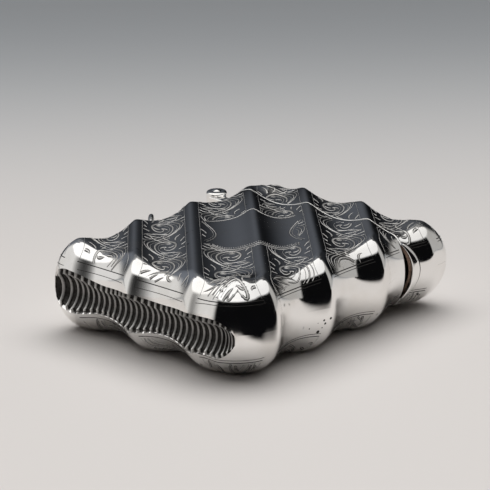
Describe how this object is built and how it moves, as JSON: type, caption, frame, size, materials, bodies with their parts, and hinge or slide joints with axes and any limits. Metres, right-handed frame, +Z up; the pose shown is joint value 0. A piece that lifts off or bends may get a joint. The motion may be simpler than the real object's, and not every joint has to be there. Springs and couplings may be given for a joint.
{
  "type": "wrythen fluted silver vesta case",
  "caption": "Pocket match case with slanting ribs and flutes, serrated striker across one short end, hinged end lid and suspension ring.",
  "frame": {"origin": "on the table under the middle of the closed case, which lies on its back", "axes": "+X along the case towards the lid end, +Y across it towards the hinge edge, +Z up out of the front face"},
  "size_m": [0.0498, 0.0458, 0.0146],
  "materials": {
    "silver": "polished, engraved, lightly worn",
    "dark_silver": "serrated, tarnished in the grooves"
  },
  "bodies": {
    "case_body": {"body_front_shell": "silver", "body_back_shell": "silver", "striker_strip": "dark_silver", "mouth_bezel": "silver", "body_knuckle_front": "silver", "body_knuckle_back": "silver", "hinge_pin": "silver", "suspension_lug": "silver"},
    "lid": {"lid_front_shell": "silver", "lid_back_shell": "silver", "lid_thumb_lip": "silver", "lid_knuckle": "silver"},
    "ring": {"suspension_ring": "silver"}
  },
  "joints": [
    {"name": "lid_hinge", "type": "hinge", "parent": "case_body", "child": "lid", "pos_m": [0.0144, 0.0212, 0.0073], "axis": [0, 0, 1], "range_deg": [0, 110]},
    {"name": "ring_swing", "type": "hinge", "parent": "case_body", "child": "ring", "pos_m": [-0.002, 0.0204, 0.0073], "axis": [0, 0, 1], "range_deg": [-33, 127]}
  ]
}
